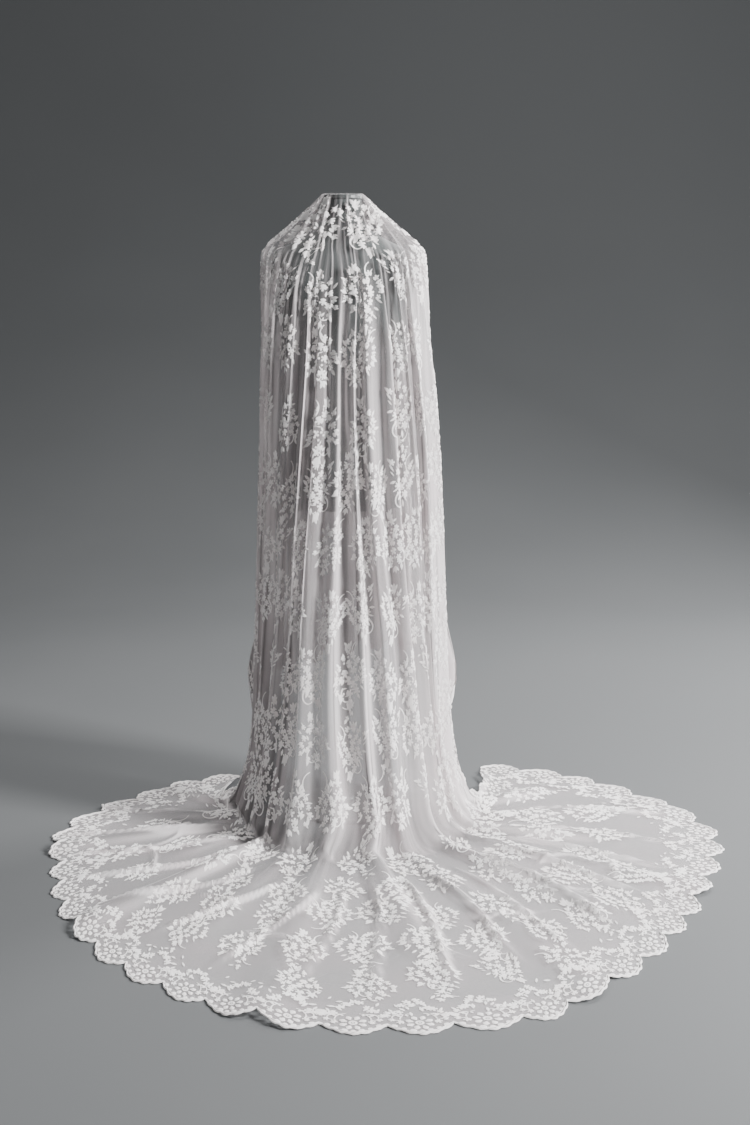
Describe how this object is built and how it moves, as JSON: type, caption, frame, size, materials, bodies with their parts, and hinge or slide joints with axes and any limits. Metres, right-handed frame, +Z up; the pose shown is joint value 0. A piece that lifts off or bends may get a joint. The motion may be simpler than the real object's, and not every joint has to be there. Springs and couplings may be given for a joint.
{
  "type": "bridal veil on a dress form",
  "caption": "Long sheer bridal veil with a scalloped lace border and a round train, draped over a limbless dress form on a stand.",
  "frame": {"origin": "on the floor under the axis of the pole, at the centre of the underside of the stand's foot", "axes": "+Z up; -Y from the form towards the far end of the train; +X to the right as seen from the train"},
  "size_m": [1.6897, 1.6351, 1.5986],
  "materials": {
    "veil_net": "sheer soft net, slight sheen",
    "lace_border": "corded lace, matte",
    "form_cover": "fine knitted cover, matte",
    "form_cap": "satin dark grey",
    "form_stand": "satin grey"
  },
  "bodies": {
    "root": {"veil_back": "veil_net", "veil_front": "veil_net", "veil_train": "veil_net", "border_train": "lace_border", "border_side_left": "lace_border", "border_side_right": "lace_border", "border_front": "lace_border", "form_torso": "form_cover", "form_neck_cap": "form_cap", "form_pole": "form_stand", "form_foot": "form_stand"}
  },
  "joints": []
}
